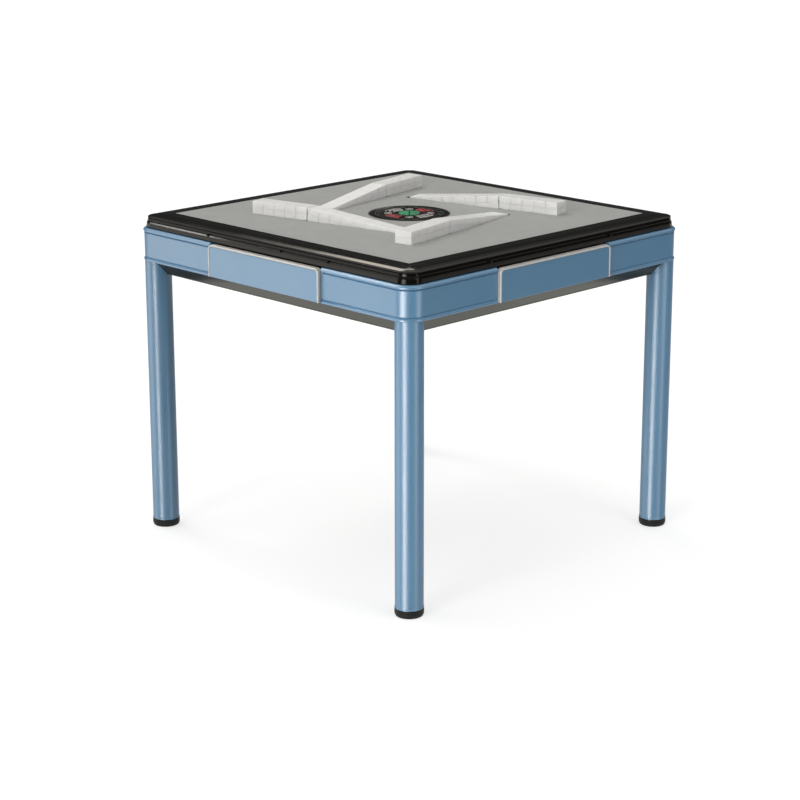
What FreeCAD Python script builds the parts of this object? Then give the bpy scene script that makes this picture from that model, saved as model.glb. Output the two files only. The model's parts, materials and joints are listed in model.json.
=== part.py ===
import FreeCAD, Part
import os
import re
import Sketcher

# Automatic mahjong table with four drawers, in millimetres. The origin is on the floor under the
# middle of the table, with +Z up. Each side is drawn as the south one, at -Y, and turned into place.
SIZES = {
    # table top
    "table_width": 900,
    "surface_height": 760,
    "cloth_thickness": 3,
    "cloth_gap": 0.3,
    "board_thickness": 12,
    "board_tuck": 6.5,
    # rim
    "rim_inset": 7,
    "rim_width": 59.7,
    "rim_height": 31,
    "rim_fall": 5,
    "rim_round": 6,
    "rim_depth": 18,
    "rim_foot": 15,
    # skirt band
    "skirt_height": 77,
    "skirt_wall": 14,
    "lip_height": 8,
    "lip_proud": 2,
    "corner_radius": 45,
    # tray and chassis
    "tray_inset": 9,
    "tray_height": 32,
    "tray_run": 27,
    "tray_sheet": 2,
    "tray_side_sheet": 3,
    "rail_width": 20,
    "rail_inset": 70,
    "rail_setback": 74,
    "bay_margin": 54,
    "runner_seat": 13,
    # legs
    "leg_inset": 36,
    "leg_radius": 31,
    "leg_wall": 2.5,
    "leg_gap": 0.3,
    "foot_height": 18,
    "foot_lap": 1,
    "foot_round": 5,
    "foot_plug": 20,
    "spigot_length": 90,
    "spigot_gap": 0.15,
    "plate_lap": 17,
    "plate_overhang": 1,
    "plate_thickness": 6,
    "post_width": 26,
    "post_setback": 62,
    "bolt_radius": 4,
    "bolt_gap": 0.1,
    "bolt_head_radius": 6.5,
    "bolt_head_height": 5,
    "bolt_length": 24,
    # drawers
    "drawer_width": 364,
    "drawer_gap": 1.5,
    "drawer_proud": 6,
    "front_thickness": 13,
    "trim_width": 4.5,
    "trim_depth": 12,
    "trim_proud": 1,
    "trim_radius": 12,
    "box_inset": 17,
    "box_rise": 8,
    "box_headroom": 12,
    "box_wall": 8,
    "box_floor": 4,
    "groove_rise": 28,
    "groove_height": 10,
    "groove_depth": 4,
    "runner_gap": 0.4,
    "runner_side_gap": 1,
    "runner_web": 2.5,
    "runner_setback": 12,
    # tile walls and their ramps
    "wall_angle": 11.6,
    "wall_reach": 58,
    "hinge_offset": 106,
    "hinge_drop": 9,
    "ramp_tilt": 6,
    "ramp_margin": 8,
    "ramp_edge": 0.8,
    "ramp_thickness": 4,
    "barrel_radius": 6,
    "pin_radius": 3,
    "pin_grip": 8,
    "slot_gap": 1.2,
    "slot_start": 9,
    "slot_end": 8,
    "tile_length": 42,
    "tile_width": 30.7,
    "tile_thickness": 14.7,
    "tile_gap": 0.3,
    "running_gap": 0.05,
    # lift rods
    "rod_distance": 200,
    "rod_radius": 5,
    "rod_gap": 0.3,
    "rod_rest": 2,
    "rod_show": 18,
    "actuator_width": 36,
    "actuator_base": 30,
    # control disc
    "disc_radius": 94,
    "disc_gap": 1.5,
    "disc_height": 16,
    "disc_ring": 2,
    "panel_thickness": 3,
    "panel_gap": 0.1,
    "column_radius": 24,
    "stop_gap": 0.3,
    "seat_key_outer": 60,
    "seat_key_inner": 38,
    "seat_key_angle": 44,
    "half_key_radius": 24,
    "half_key_split": 2,
    "key_gap": 0.4,
    "key_height": 5.6,
    "key_proud": 1.6,
    "key_room": 3,
    # shuffle drum and its drive
    "guide_radius": 30,
    "guide_height": 93,
    "guide_flange_radius": 60,
    "guide_flange_height": 7.7,
    "drum_radius": 150,
    "drum_wall": 3,
    "drum_height": 60,
    "drum_floor": 4,
    "drum_cone": 10,
    "drum_lift": 11,
    "hub_radius": 42,
    "hub_height": 35,
    "roller_radius": 18,
    "roller_height": 30,
    "roller_rise": 33,
    "roller_gap": 0.3,
    "drive_angle": 98,
    "shaft_radius": 4,
    "motor_radius": 24,
    "motor_gap": 2,
    "motor_bore": 10,
    # pick-up wheels
    "wheel_distance": 66,
    "wheel_radius": 30,
    "wheel_width": 16,
    "wheel_rise": 58,
    "wheel_setback": 2,
    "wheel_shaft_radius": 3,
    "wheel_shaft_length": 12,
    "wheel_motor_radius": 14,
    "wheel_motor_length": 37,
    "wheel_motor_gap": 6,
    "wheel_motor_foot": 20,
    # power and control
    "supply_gap": 10,
    "supply_width": 60,
    "supply_height": 26,
    "circuit_width": 60,
    "circuit_thickness": 1.6,
    "standoff_height": 6,
    "standoff_radius": 3,
    "standoff_edge": 6,
    "inlet_margin": 25,
    "inlet_width": 27,
    "inlet_wall": 1,
    "inlet_height": 25,
    "inlet_flange": 4,
    "inlet_flange_height": 3,
    "inlet_gap": 0.3,
    "socket_length": 22,
    "socket_width": 16,
    "socket_depth": 20,
    "rocker_length": 18,
    "rocker_width": 13,
    "rocker_height": 10,
    "rocker_gap": 0.5,
    "rocker_tilt": 5,
    "rocker_pin_radius": 1.5,
    "rocker_pin_grip": 2,
    "rocker_room": 16,
    "inlet_web": 2,
}

# Turn of each side about the table's axis, in degrees
SIDES = {"south": 0, "east": 90, "north": 180, "west": 270}
FLAT_STACKS = 5
RAMP_STACKS = 8
TILE_LAYERS = 2
HALF_KEYS = {"key_raise": 45, "key_dice": 225}
FULL_TURN = 360
NEAR = 1e-4

doc = FreeCAD.newDocument("mahjong_table")
sheet = doc.addObject("Spreadsheet::Sheet", "dims")
for row, (size, value) in enumerate(SIZES.items(), 1):
    sheet.set(f"A{row}", size)
    sheet.set(f"B{row}", str(value))
    sheet.setAlias(f"B{row}", size)
doc.recompute()
nodes = {}


def bound(formula):
    """The formula with each size named as a cell of the sheet."""
    return re.sub(r"[a-z][a-z_]+", lambda word: f"dims.{word[0]}" if word[0] in SIZES else word[0], formula)


def number(formula):
    return float(sheet.evalExpression(formula))


def bind(thing, formulas):
    for place, formula in formulas.items():
        thing.setExpression(place, bound(formula))


def base_at(thing, place):
    bind(thing, dict(zip(("Placement.Base.x", "Placement.Base.y", "Placement.Base.z"), place)))


def about_z(degrees):
    return FreeCAD.Placement(FreeCAD.Vector(), FreeCAD.Rotation(FreeCAD.Vector(0, 0, 1), degrees))


def box(label, low, high):
    """A block between two opposite corners."""
    block = doc.addObject("Part::Box", label)
    spans = [f"({top}) - ({bottom})" for bottom, top in zip(low, high)]
    bind(block, dict(zip(("Length", "Width", "Height"), spans)))
    base_at(block, low)
    return block


def rod(label, radius, base, height, direction=(0, 0, 1), angle=None, heading=0):
    """A round bar from its base along a direction, or a pie slice of one that starts at a heading."""
    bar = doc.addObject("Part::Cylinder", label)
    bind(bar, {"Radius": radius, "Height": height})
    lean = FreeCAD.Rotation(FreeCAD.Vector(0, 0, 1), FreeCAD.Vector(*direction))
    bar.Placement = FreeCAD.Placement(FreeCAD.Vector(), lean) * about_z(heading)
    if angle:
        bind(bar, {"Angle": angle})
    base_at(bar, base)
    return bar


def group(label, things):
    bundle = doc.addObject("Part::Compound", label)
    bundle.Links = things
    return bundle


def fuse(label, things):
    joined = doc.addObject("Part::MultiFuse", label)
    joined.Shapes = things
    joined.Refine = True
    return joined


def cut(label, base, tools):
    trimmed = doc.addObject("Part::Cut", label)
    trimmed.Base = base
    trimmed.Tool = tools[0] if len(tools) == 1 else group(f"{label}_cutters", tools)
    return trimmed


def common(label, base, tool):
    shared = doc.addObject("Part::Common", label)
    shared.Base = base
    shared.Tool = tool
    return shared


def outline(body, plane, offset, points):
    """A closed outline of straight lines on an origin plane, each corner a pair of formulas."""
    sketch = body.newObject("Sketcher::SketchObject", f"{body.Label}_outline")
    support = [feature for feature in body.Origin.OriginFeatures if feature.Role == plane]
    sketch.AttachmentSupport = (support[0], [""])
    sketch.MapMode = "FlatFace"
    bind(sketch, {"AttachmentOffset.Base.z": offset})
    corners = [FreeCAD.Vector(number(across), number(along), 0) for across, along in points]
    for start, end in zip(corners, corners[1:] + corners[:1]):
        sketch.addGeometry(Part.LineSegment(start, end), False)
    for index, (point, corner) in enumerate(zip(points, corners)):
        following = (index + 1) % len(corners)
        sketch.addConstraint(Sketcher.Constraint("Coincident", index, 2, following, 1))
        for kind, formula, distance in zip(("DistanceX", "DistanceY"), point, corner):
            constraint = sketch.addConstraint(Sketcher.Constraint(kind, -1, 1, index, 1, distance))
            bind(sketch, {f"Constraints[{constraint}]": formula})
    return sketch


def add_pad(body, plane, offset, points, length):
    pad = body.newObject("PartDesign::Pad", f"{body.Label}_pad")
    pad.Profile = outline(body, plane, offset, points)
    bind(pad, {"Length": length})
    body.Tip = pad


def prism(label, plane, offset, points, length):
    body = doc.addObject("PartDesign::Body", label)
    add_pad(body, plane, offset, points, length)
    return body


def lathe(label, points):
    """A turned piece, from an outline of radius and height pairs."""
    body = doc.addObject("PartDesign::Body", label)
    turning = body.newObject("PartDesign::Revolution", f"{label}_turning")
    sketch = outline(body, "XZ_Plane", "0", points)
    turning.Profile = sketch
    turning.ReferenceAxis = (sketch, ["V_Axis"])
    turning.Angle = FULL_TURN
    body.Tip = turning
    return body


def round_edges(body, radius, wanted):
    """Rounds the edges of the body that pass the test."""
    doc.recompute()
    tip = body.Tip
    names = [f"Edge{index}" for index, edge in enumerate(tip.Shape.Edges, 1) if wanted(edge)]
    fillet = body.newObject("PartDesign::Fillet", f"{body.Label}_fillet")
    fillet.Base = (tip, names)
    bind(fillet, {"Radius": radius})
    body.Tip = fillet


def edge_through(x=None, y=None, z=None):
    """A test for edges whose two ends both lie at the stated coordinates."""
    wanted = [(axis, number(formula)) for axis, formula in zip("xyz", (x, y, z)) if formula]

    def passes(edge):
        ends = [vertex.Point for vertex in edge.Vertexes]
        return all(abs(getattr(end, axis) - place) < NEAR for end in ends for axis, place in wanted)

    return passes


def keep(label, thing, turn=0):
    """Names a finished sub-part and turns it to its side of the table."""
    thing.Label = label
    thing.Placement = about_z(turn) * thing.Placement
    nodes[label] = thing


# Levels and faces that several pieces share
half_width = "(table_width / 2)"
skirt_top = "(surface_height - rim_height)"
skirt_bottom = f"({skirt_top} - skirt_height)"
skirt_face = f"({half_width} - lip_proud)"
skirt_inner = f"({half_width} - skirt_wall)"
skirt_end = "(drawer_width / 2 + drawer_gap)"
tray_bottom = f"({skirt_bottom} - tray_height)"
floor_top = f"({tray_bottom} + tray_sheet)"
tray_top_half = f"({half_width} - tray_inset)"
floor_half = f"({tray_top_half} - tray_run)"
board_top = "(surface_height - cloth_thickness)"
board_bottom = f"({board_top} - board_thickness)"
rim_outer = f"({half_width} - rim_inset)"
rim_inner = f"({rim_outer} - rim_width)"
cloth_half = f"({rim_inner} - cloth_gap)"
board_half = f"({cloth_half} + board_tuck)"
leg_place = f"({half_width} - leg_inset)"
leg_bore = "(leg_radius - leg_wall)"
leg_places = (leg_place, f"-{leg_place}")
leg_corners = [(across, along) for across in leg_places for along in leg_places]
post_outer = f"({leg_place} - post_setback + post_width / 2)"
post_inner = f"({post_outer} - post_width)"
rail_end = f"({leg_place} - rail_setback)"
plate_outer = f"({leg_place} + plate_overhang)"
plate_inner = f"({rail_end} - plate_lap)"
bolt_place = f"({rail_end} - plate_lap / 2)"
outer_rail = f"({half_width} - rail_inset)"
bolt_places = [(bolt_place, outer_rail), (outer_rail, bolt_place)]
outer_near = f"({outer_rail} - rail_width / 2)"
outer_far = f"({outer_rail} + rail_width / 2)"
front_back = f"({half_width} + drawer_proud - trim_proud - front_thickness)"
hinge_place = "(drum_radius + wall_reach)"
box_bottom = f"({skirt_bottom} + box_rise)"
box_top = f"({skirt_top} - box_headroom)"
box_back = f"({hinge_place} + bay_margin)"
box_half = "(drawer_width / 2 - box_inset)"
inner_near = f"({box_back} + runner_seat - rail_width / 2)"
inner_far = f"({inner_near} + rail_width)"
groove_bottom = f"({box_bottom} + groove_rise)"
groove_top = f"({groove_bottom} + groove_height)"
web_inner = f"({box_half} + runner_side_gap)"
disc_bottom = "(surface_height - disc_height)"
panel_bottom = "(surface_height - panel_thickness)"
panel_radius = "(disc_radius - disc_ring - panel_gap)"
key_top = "(surface_height + key_proud)"
key_bottom = f"({key_top} - key_height)"
key_floor = f"({key_bottom} - key_room)"
drum_bottom = f"({floor_top} + guide_flange_height + stop_gap)"
drum_underside = f"({drum_bottom} + drum_lift)"
inlet_place = f"({inner_near} - inlet_margin)"
socket_start = "(-inlet_web / 2 - socket_length)"
rocker_end = "(inlet_web / 2 + rocker_length + 2 * inlet_web)"
inlet_start = f"({socket_start} - inlet_wall)"
inlet_end = f"({rocker_end} + inlet_wall)"
ramp_length = f"({RAMP_STACKS} * (tile_width + tile_gap) + ramp_margin)"
ramp_half = "(tile_length / 2 + ramp_edge)"
slot_half = f"({ramp_half} + slot_gap)"
pin_start = ("0", f"-{slot_half} - pin_grip", "-hinge_drop")
pin_length = f"2 * ({slot_half} + pin_grip)"


def leg_pieces():
    """Round legs between the foot caps and the band, one at each corner."""
    tubes = []
    caps = []
    foot_radius = "(leg_radius + foot_lap)"
    for index, (across, along) in enumerate(leg_corners):
        height = f"{skirt_bottom} - foot_height"
        outside = rod(f"leg_outside_{index}", "leg_radius", (across, along, "foot_height"), height)
        inside = rod(f"leg_inside_{index}", leg_bore, (across, along, "foot_height"), height)
        tubes.append(cut(f"leg_{index}", outside, [inside]))
        plug = f"{leg_bore} - spigot_gap"
        cap = lathe(f"foot_cap_{index}", [
            ("0", "0"), (foot_radius, "0"), (foot_radius, "foot_height"), (plug, "foot_height"),
            (plug, "foot_height + foot_plug"), ("0", "foot_height + foot_plug"),
        ])
        round_edges(cap, "foot_round", edge_through(x=foot_radius, z="0"))
        base_at(cap, (across, along, "0"))
        caps.append(cap)
    keep("legs", group("leg_group", tubes))
    keep("foot_caps", group("foot_cap_group", caps))


def bolt_holes(label, turn):
    """Clearance holes for the two bolts of the corner at +X and +Y."""
    depth = "plate_thickness + bolt_length"
    low = f"{skirt_bottom} - bolt_length"
    holes = [rod(f"{label}_{index}", "bolt_radius + bolt_gap", (*place, low), depth)
             for index, place in enumerate(bolt_places)]
    bundle = group(f"{label}_pair", holes)
    bundle.Placement = about_z(turn)
    return bundle


def corner_pieces():
    """Sockets that carry the legs, each with a post up to the board and two bolts to the rails."""
    sockets = []
    bolts = []
    for side, turn in SIDES.items():
        plate_top = f"{skirt_bottom} + plate_thickness"
        plate = box(f"plate_{side}", (plate_inner, plate_inner, skirt_bottom),
                    (plate_outer, plate_outer, plate_top))
        spigot_low = (leg_place, leg_place, f"{skirt_bottom} - spigot_length")
        spigot = rod(f"spigot_{side}", f"{leg_bore} - spigot_gap", spigot_low, "spigot_length")
        post = box(f"post_{side}", (post_inner, post_inner, f"{skirt_bottom} + plate_thickness / 2"),
                   (post_outer, post_outer, board_bottom))
        socket = fuse(f"socket_solid_{side}", [plate, spigot, post])
        drilled = cut(f"socket_{side}", socket, [bolt_holes(f"socket_hole_{side}", 0)])
        drilled.Placement = about_z(turn)
        sockets.append(drilled)
        for index, place in enumerate(bolt_places):
            tip = (*place, f"{plate_top} - bolt_length")
            shank = rod(f"shank_{side}_{index}", "bolt_radius", tip, "bolt_length")
            head = rod(f"head_{side}_{index}", "bolt_head_radius", (*place, plate_top), "bolt_head_height")
            bolt = fuse(f"bolt_{side}_{index}", [shank, head])
            bolt.Placement = about_z(turn)
            bolts.append(bolt)
    keep("leg_sockets", group("socket_group", sockets))
    keep("frame_bolts", group("bolt_group", bolts))


def chassis_rails():
    """Bars on the tray floor: an outer one between each pair of legs, and an inner ring of four."""
    rails = []
    for side, turn in SIDES.items():
        outer = box(f"outer_bar_{side}", (f"-{rail_end}", f"-{outer_far}", floor_top),
                    (rail_end, f"-{outer_near}", skirt_bottom))
        holes = [bolt_holes(f"rail_hole_{side}_right", -90), bolt_holes(f"rail_hole_{side}_left", 180)]
        drilled = cut(f"outer_rail_{side}", outer, holes)
        inner = box(f"inner_rail_{side}", (f"-{inner_near}", f"-{inner_far}", floor_top),
                    (inner_far, f"-{inner_near}", skirt_bottom))
        pair = group(f"rails_{side}", [drilled, inner])
        pair.Placement = about_z(turn)
        rails.append(pair)
    keep("chassis_rails", group("rail_group", rails))


def leg_clearances(label):
    """Round cuts for the legs through the tray's corners."""
    low = f"{tray_bottom} - tray_sheet"
    height = "tray_height + 2 * tray_sheet"
    return [rod(f"{label}_{index}", "leg_radius + leg_gap", (*corner, low), height)
            for index, corner in enumerate(leg_corners)]


def base_tray():
    """Flat floor with four sides that lean outward up to the band, cut away round the legs."""
    plate = box("tray_plate", (f"-{floor_half}", f"-{floor_half}", tray_bottom),
                (floor_half, floor_half, floor_top))
    hole_start = f"{inlet_start} - inlet_gap"
    hole_end = f"{inlet_end} + inlet_gap"
    hole_reach = "(inlet_width / 2 + inlet_gap)"
    hole_low = f"{tray_bottom} - tray_sheet"
    hole_top = f"{floor_top} + tray_sheet"
    hole = box("inlet_hole", (hole_start, f"{inlet_place} - {hole_reach}", hole_low),
               (hole_end, f"{inlet_place} + {hole_reach}", hole_top))
    panels = [cut("tray_floor", plate, [hole] + leg_clearances("floor_corner"))]
    for side, turn in SIDES.items():
        lean = prism(f"tray_side_bar_{side}", "YZ_Plane", f"-{floor_half}", [
            (f"-{floor_half}", floor_top), (f"-{tray_top_half}", skirt_bottom),
            (f"-{tray_top_half} + tray_side_sheet", skirt_bottom),
            (f"-{floor_half} + tray_side_sheet", floor_top),
        ], f"2 * {floor_half}")
        panel = cut(f"tray_side_{side}", lean, leg_clearances(f"side_corner_{side}"))
        panel.Placement = about_z(turn)
        panels.append(panel)
    keep("base_tray", group("tray_group", panels))


def corner_outline(outer):
    """Plan of a corner section of the band, out to a face."""
    return [(skirt_end, f"-{outer}"), (outer, f"-{outer}"), (outer, f"-{skirt_end}"),
            (skirt_inner, f"-{skirt_end}"), (skirt_inner, f"-{skirt_inner}"),
            (skirt_end, f"-{skirt_inner}")]


def skirt_corners():
    """Blue band: four rounded corner sections with a bead along the top and bottom edges."""
    sections = []
    for side, turn in SIDES.items():
        plan = corner_outline(skirt_face)
        section = prism(f"skirt_{side}", "XY_Plane", skirt_bottom, plan, "skirt_height")
        for level in (skirt_bottom, f"{skirt_top} - lip_height"):
            add_pad(section, "XY_Plane", level, corner_outline(half_width), "lip_height")
        for face, inset in ((half_width, "0"), (skirt_face, "lip_proud"), (skirt_inner, "skirt_wall")):
            round_edges(section, f"corner_radius - {inset}", edge_through(x=face, y=f"-{face}"))
        section.Placement = about_z(turn)
        sections.append(section)
    keep("skirt_corners", group("skirt_group", sections))


def rim_rails():
    """Black rim: four rails mitred at the corners, which rest on the band and lap over the board."""
    block = prism("rim_block", "XY_Plane", skirt_top, [
        (f"-{rim_outer}", f"-{rim_outer}"), (rim_outer, f"-{rim_outer}"), (rim_outer, rim_outer),
        (f"-{rim_outer}", rim_outer),
    ], "rim_height")
    doc.recompute()
    height = number("rim_height")
    round_edges(block, "corner_radius - rim_inset", lambda edge: abs(edge.BoundBox.ZLength - height) < NEAR)
    crest = "surface_height - rim_fall"
    underside = "surface_height - rim_depth"
    foot_inner = f"-{rim_outer} + rim_foot"
    board_edge = f"-{board_half} - cloth_gap"
    rails = []
    for side, turn in SIDES.items():
        bar = prism(f"rim_bar_{side}", "YZ_Plane", f"-{rim_outer}", [
            (f"-{rim_inner}", board_top), (f"-{rim_inner}", "surface_height"), (f"-{rim_outer}", crest),
            (f"-{rim_outer}", skirt_top), (foot_inner, skirt_top), (foot_inner, underside),
            (board_edge, underside), (board_edge, board_top),
        ], f"2 * {rim_outer}")
        round_edges(bar, "rim_round", edge_through(y=f"-{rim_outer}", z=crest))
        sector = prism(f"rim_sector_{side}", "XY_Plane", skirt_top, [
            ("0", "0"), (f"-{half_width}", f"-{half_width}"), (half_width, f"-{half_width}"),
        ], "rim_height")
        rail = common(f"rim_{side}", common(f"rim_mitred_{side}", bar, sector), block)
        rail.Placement = about_z(turn)
        rails.append(rail)
    keep("rim_rails", group("rim_group", rails))


def wall_place(turn, tilt=0):
    """Frame of one tile wall: its first axis along the wall from the hinge inward, at the cloth's level."""
    at_hinge = FreeCAD.Vector(-number("hinge_offset"), -number(hinge_place), number("surface_height"))
    along = FreeCAD.Placement(at_hinge, FreeCAD.Rotation(FreeCAD.Vector(0, 0, 1), number("wall_angle")))
    drop = FreeCAD.Vector(0, 0, -number("hinge_drop"))
    lean = FreeCAD.Rotation(FreeCAD.Vector(0, 1, 0), tilt)
    return about_z(turn) * along * FreeCAD.Placement(FreeCAD.Vector(), lean, drop)


def top_cutters(label):
    """Cuts through the board and cloth for the ramps, their pins and the control disc."""
    depth = "(cloth_thickness + board_thickness)"
    low = f"{board_bottom} - cloth_thickness"
    cutters = [rod(f"{label}_hole", "disc_radius + disc_gap", ("0", "0", low),
                   f"{depth} + 2 * cloth_thickness")]
    for side, turn in SIDES.items():
        slot_low = ("-slot_start", f"-{slot_half}", f"-{depth} - cloth_thickness")
        slot_high = (f"{ramp_length} + slot_end", slot_half, "cloth_thickness")
        slot = box(f"{label}_slot_{side}", slot_low, slot_high)
        pin = rod(f"{label}_pin_{side}", "pin_radius + running_gap", pin_start, pin_length, (0, 1, 0))
        pair = group(f"{label}_cut_{side}", [slot, pin])
        pair.Placement = wall_place(turn)
        cutters.append(pair)
    return cutters


def table_top():
    """Board and cloth, both with the four ramp slots and the disc's hole."""
    board = box("board_plate", (f"-{board_half}", f"-{board_half}", board_bottom),
                (board_half, board_half, board_top))
    keep("table_board", cut("board_cut", board, top_cutters("board")))
    cloth = box("cloth_plate", (f"-{cloth_half}", f"-{cloth_half}", board_top),
                (cloth_half, cloth_half, "surface_height"))
    keep("playing_cloth", cut("cloth_cut", cloth, top_cutters("cloth")))


def tile_stacks(label, first, count):
    """Tiles two high in a row along the wall, from a first place."""
    tiles = []
    for stack in range(count):
        for layer in range(TILE_LAYERS):
            start = f"{first} + {stack} * (tile_width + tile_gap)"
            low = f"{layer} * tile_thickness"
            tiles.append(box(f"{label}_{stack}_{layer}", (start, "-tile_length / 2", low),
                             (f"{start} + tile_width", "tile_length / 2", f"{low} + tile_thickness")))
    return tiles


def tile_walls():
    """Ramps that tip into the slots, the tiles on them and on the cloth, and the hinge pins."""
    flat_rows = []
    pins = []
    tilt = number("ramp_tilt")
    barrel_start = ("0", f"-{ramp_half}", "-hinge_drop")
    barrel_length = f"2 * {ramp_half}"
    flat_start = f"-{FLAT_STACKS} * (tile_width + tile_gap)"
    for side, turn in SIDES.items():
        plate = box(f"ramp_plate_{side}", ("0", f"-{ramp_half}", "-ramp_thickness"),
                    (ramp_length, ramp_half, "0"))
        barrel = rod(f"ramp_barrel_{side}", "barrel_radius", barrel_start, barrel_length, (0, 1, 0))
        bore = rod(f"ramp_bore_{side}", "pin_radius + running_gap", barrel_start, barrel_length, (0, 1, 0))
        ramp = cut(f"ramp_{side}", fuse(f"ramp_solid_{side}", [plate, barrel]), [bore])
        ramp.Placement = wall_place(0, tilt)
        keep(f"lift_ramp_{side}", ramp, turn)
        row = group(f"ramp_row_{side}", tile_stacks(f"ramp_tile_{side}", "tile_gap", RAMP_STACKS))
        row.Placement = wall_place(0, tilt)
        keep(f"ramp_tiles_{side}", row, turn)
        flat = group(f"flat_row_{side}", tile_stacks(f"flat_tile_{side}", flat_start, FLAT_STACKS))
        flat.Placement = wall_place(turn)
        flat_rows.append(flat)
        pin = group(f"pin_{side}", [rod(f"pin_bar_{side}", "pin_radius", pin_start, pin_length, (0, 1, 0))])
        pin.Placement = wall_place(turn)
        pins.append(pin)
    keep("table_tiles", group("flat_rows", flat_rows))
    keep("ramp_pins", group("pin_group", pins))


def lift_pieces():
    """Rods that push the ramps up, each guided in the bore of its actuator."""
    slope = "tan(ramp_tilt)"
    lean = "cos(ramp_tilt)"
    under_hinge = "(hinge_drop - ramp_thickness)"
    underside = f"(-hinge_drop - (rod_distance + rod_radius) * {slope} + {under_hinge} / {lean})"
    floor = f"({floor_top} - surface_height)"
    rod_top = f"({underside} - rod_gap)"
    bore_bottom = f"({floor} + actuator_base)"
    rod_bottom = f"({bore_bottom} + rod_rest)"
    housing_top = f"({rod_top} - rod_show)"
    reach = "(actuator_width / 2)"
    housings = []
    for side, turn in SIDES.items():
        bar = rod(f"rod_bar_{side}", "rod_radius", ("rod_distance", "0", rod_bottom),
                  f"{rod_top} - {rod_bottom}")
        lifter = group(f"rod_{side}", [bar])
        lifter.Placement = wall_place(0)
        keep(f"lift_rod_{side}", lifter, turn)
        body = box(f"actuator_body_{side}", (f"rod_distance - {reach}", f"-{reach}", floor),
                   (f"rod_distance + {reach}", reach, housing_top))
        bore = rod(f"actuator_bore_{side}", "rod_radius + running_gap", ("rod_distance", "0", bore_bottom),
                   f"{housing_top} - {bore_bottom}")
        housing = cut(f"actuator_{side}", body, [bore])
        housing.Placement = wall_place(turn)
        housings.append(housing)
    keep("lift_actuators", group("actuator_group", housings))


def drawer_pieces():
    """Four drawers: a box of five boards, a blue front and a bright trim round three of its edges."""
    front_face = f"({half_width} + drawer_proud)"
    low = f"({skirt_bottom} + drawer_gap)"
    top = f"({skirt_top} - drawer_gap)"
    half = "(drawer_width / 2)"
    inner_half = f"({half} - trim_width)"
    inner_top = f"({top} - trim_width)"
    front_radius = "trim_radius - trim_width"
    side_inner = f"({box_half} - box_wall)"
    boards_low = f"({box_bottom} + box_floor)"
    for side, turn in SIDES.items():
        trim = prism(f"trim_{side}", "XZ_Plane", f"{front_face} - trim_depth", [
            (f"-{half}", low), (f"-{half}", top), (half, top), (half, low), (inner_half, low),
            (inner_half, inner_top), (f"-{inner_half}", inner_top), (f"-{inner_half}", low),
        ], "trim_depth")
        for place, height, radius in ((half, top, "trim_radius"), (inner_half, inner_top, front_radius)):
            for corner in (place, f"-{place}"):
                round_edges(trim, radius, edge_through(x=corner, z=height))
        keep(f"drawer_trim_{side}", trim, turn)
        front = prism(f"front_{side}", "XZ_Plane", front_back, [
            (f"-{inner_half}", low), (inner_half, low), (inner_half, inner_top),
            (f"-{inner_half}", inner_top),
        ], "front_thickness")
        for corner in (inner_half, f"-{inner_half}"):
            round_edges(front, front_radius, edge_through(x=corner, z=inner_top))
        keep(f"drawer_front_{side}", front, turn)
        boards = [
            box(f"box_floor_{side}", (f"-{box_half}", f"-{front_back}", box_bottom),
                (box_half, f"-{box_back}", boards_low)),
            box(f"box_back_{side}", (f"-{side_inner}", f"-{box_back} - box_wall", boards_low),
                (side_inner, f"-{box_back}", box_top)),
            box(f"box_front_{side}", (f"-{side_inner}", f"-{front_back}", boards_low),
                (side_inner, f"-{front_back} + box_wall", box_top)),
        ]
        for hand, sign in (("right", ""), ("left", "-")):
            edges = [f"{sign}{side_inner}", f"{sign}{box_half}"]
            groove = [f"{sign}({box_half} - groove_depth)", f"{sign}({box_half} + groove_depth)"]
            if sign:
                edges.reverse()
                groove.reverse()
            panel = box(f"box_{hand}_{side}", (edges[0], f"-{front_back}", boards_low),
                        (edges[1], f"-{box_back}", box_top))
            channel = box(f"groove_{hand}_{side}", (groove[0], f"-{front_back} - box_wall", groove_bottom),
                          (groove[1], f"-{box_back} + box_wall", groove_top))
            boards.append(cut(f"box_side_{hand}_{side}", panel, [channel]))
        keep(f"drawer_box_{side}", group(f"boards_{side}", boards), turn)


def drawer_runners():
    """Angle runners that stand on the chassis rails, with a tongue in each drawer's side groove."""
    runners = []
    tongue_inner = f"({box_half} - groove_depth + runner_gap)"
    web_outer = f"({web_inner} + runner_web)"
    start = f"(-{front_back} + runner_setback)"
    for side, turn in SIDES.items():
        for hand, sign in (("right", ""), ("left", "-")):
            web = [f"{sign}{web_inner}", f"{sign}{web_outer}"]
            tongue = [f"{sign}{tongue_inner}", f"{sign}{web_outer}"]
            if sign:
                web.reverse()
                tongue.reverse()
            upright = box(f"web_{hand}_{side}", (web[0], start, skirt_bottom),
                          (web[1], f"-{box_back}", f"{groove_top} - runner_gap"))
            shelf = box(f"tongue_{hand}_{side}", (tongue[0], start, f"{groove_bottom} + runner_gap"),
                        (tongue[1], f"-{box_back}", f"{groove_top} - runner_gap"))
            runner = fuse(f"runner_{hand}_{side}", [upright, shelf])
            runner.Placement = about_z(turn)
            runners.append(runner)
    keep("drawer_runners", group("runner_group", runners))


def seat_key(label, heading, gap, low, height):
    """A ring sector that faces one seat, grown by a gap where it is the hole for a key."""
    spread = f"(seat_key_angle + 2 * {gap} / seat_key_inner * 180 / pi)"
    start = heading - number(spread) / 2
    middle = ("0", "0", low)
    pie = rod(f"{label}_pie", f"seat_key_outer + {gap}", middle, height, angle=spread, heading=start)
    core = rod(f"{label}_core", f"seat_key_inner - {gap}", middle, height)
    return cut(f"{label}_sector", pie, [core])


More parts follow.
